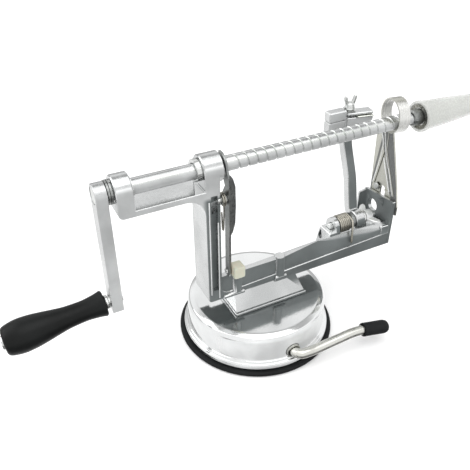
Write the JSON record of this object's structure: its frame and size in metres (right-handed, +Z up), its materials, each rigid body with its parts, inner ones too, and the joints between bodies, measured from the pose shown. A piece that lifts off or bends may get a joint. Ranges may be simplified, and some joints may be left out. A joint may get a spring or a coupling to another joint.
{
  "type": "apple peeler corer",
  "caption": "Hand-cranked apple peeler and corer: a lead screw with a pronged fork in a cast C-frame on a round suction base, with a sprung peeling arm and a ring blade.",
  "frame": {"origin": "centre of the suction disc's flat underside, on the table", "axes": "+X along the shaft from the crank to the fork, +Z up"},
  "size_m": [0.3292, 0.1114, 0.1451],
  "materials": {
    "cast_aluminium": "polished casting",
    "chrome": "bright plate",
    "steel": "bright zinc",
    "blade_steel": "satin",
    "dark_steel": "dark satin",
    "spring_wire": "drawn wire",
    "nickel": "satin nickel",
    "black_rubber": "matt",
    "black_grip": "semi-matt",
    "cream_plastic": "matt",
    "clear_plastic": "translucent"
  },
  "bodies": {
    "frame": {"cast_frame": "cast_aluminium", "rear_bushing": "steel", "front_bushing": "steel", "base_screw_rear": "steel", "base_screw_front": "steel", "suction_disc": "black_rubber", "suction_drum": "chrome", "rod_grommet": "nickel", "lever_bolt": "steel", "lever_spacer": "steel", "lever_spring": "spring_wire", "arm_axle": "steel", "spring_sleeve": "steel", "arm_washer": "dark_steel", "axle_washer": "steel", "torsion_spring": "spring_wire", "coring_blade": "blade_steel", "blade_screw_near": "steel", "blade_screw_far": "steel", "blade_rivet": "dark_steel"},
    "thrust_washers": {"thrust_washer_inner": "dark_steel", "thrust_washer_outer": "dark_steel"},
    "shaft": {"screw_shaft": "steel", "fork_hub": "dark_steel", "fork_prong_1": "steel", "fork_prong_2": "steel", "fork_prong_3": "steel", "crank_arm": "cast_aluminium", "crank_set_screw": "dark_steel", "crank_pin": "steel", "crank_collar": "steel"},
    "grip": {"crank_grip": "black_grip"},
    "lever": {"release_lever": "dark_steel", "thumb_pad": "cream_plastic", "pad_rivet": "steel"},
    "arm": {"peeling_arm": "cast_aluminium", "clamp_block": "cast_aluminium", "clamp_jaw": "cast_aluminium", "blade_holder": "cast_aluminium", "peeling_blade": "blade_steel", "blade_cover": "cast_aluminium", "clamp_washer": "steel"},
    "clamp_screw": {"wing_screw": "steel"},
    "arm_nut": {"wing_nut": "steel"},
    "suction_lever": {"suction_rod": "nickel", "lever_tip": "black_rubber"},
    "stud": {"lift_stud": "steel"},
    "cap": {"prong_cap": "clear_plastic", "cap_collar": "dark_steel"}
  },
  "joints": [
    {"name": "shaft_travel", "type": "slide", "parent": "frame", "child": "thrust_washers", "axis": [1, 0, 0], "range_m": [-0.11, 0]},
    {"name": "crank_turn", "type": "hinge", "parent": "thrust_washers", "child": "shaft", "pos_m": [0, 0, 0.13], "axis": [1, 0, 0], "range_deg": [-6480, 0]},
    {"name": "grip_spin", "type": "hinge", "parent": "shaft", "child": "grip", "pos_m": [-0.0953, 0, 0.0585], "axis": [-0.9954, 0, -0.0958], "continuous": true},
    {"name": "release_lever", "type": "hinge", "parent": "frame", "child": "lever", "pos_m": [-0.0256, -0.0075, 0.112], "axis": [1, 0, 0], "range_deg": [0, 5], "stiffness_Nm_per_rad": 1, "springref_deg": -5.73},
    {"name": "peeling_arm", "type": "hinge", "parent": "frame", "child": "arm", "pos_m": [0.0773, 0.003, 0.06], "axis": [1, 0, 0], "range_deg": [-35, 0], "stiffness_Nm_per_rad": 0.4, "springref_deg": 14.32},
    {"name": "clamp_screw", "type": "hinge", "parent": "arm", "child": "clamp_screw", "pos_m": [0.0782, 0.021, 0.1358], "axis": [0, 0, 1], "continuous": true},
    {"name": "arm_nut", "type": "hinge", "parent": "frame", "child": "arm_nut", "pos_m": [0.0872, 0.003, 0.06], "axis": [1, 0, 0], "range_deg": [-60, 4]},
    {"name": "suction_lever", "type": "hinge", "parent": "frame", "child": "suction_lever", "pos_m": [0.0015, 0, 0.013], "axis": [0, 1, 0], "range_deg": [-180, 0]},
    {"name": "stud_lift", "type": "slide", "parent": "frame", "child": "stud", "axis": [0, 0, 1], "range_m": [0, 0.0037]},
    {"name": "cap_pull", "type": "slide", "parent": "frame", "child": "cap", "axis": [1, 0, 0], "range_m": [0, 0.06]}
  ],
  "couplings": [
    {"joint": "shaft_travel", "follows": "crank_turn", "m_per_rad": 0.00097085},
    {"joint": "stud_lift", "follows": "suction_lever", "m_per_rad": -0.0011459}
  ]
}
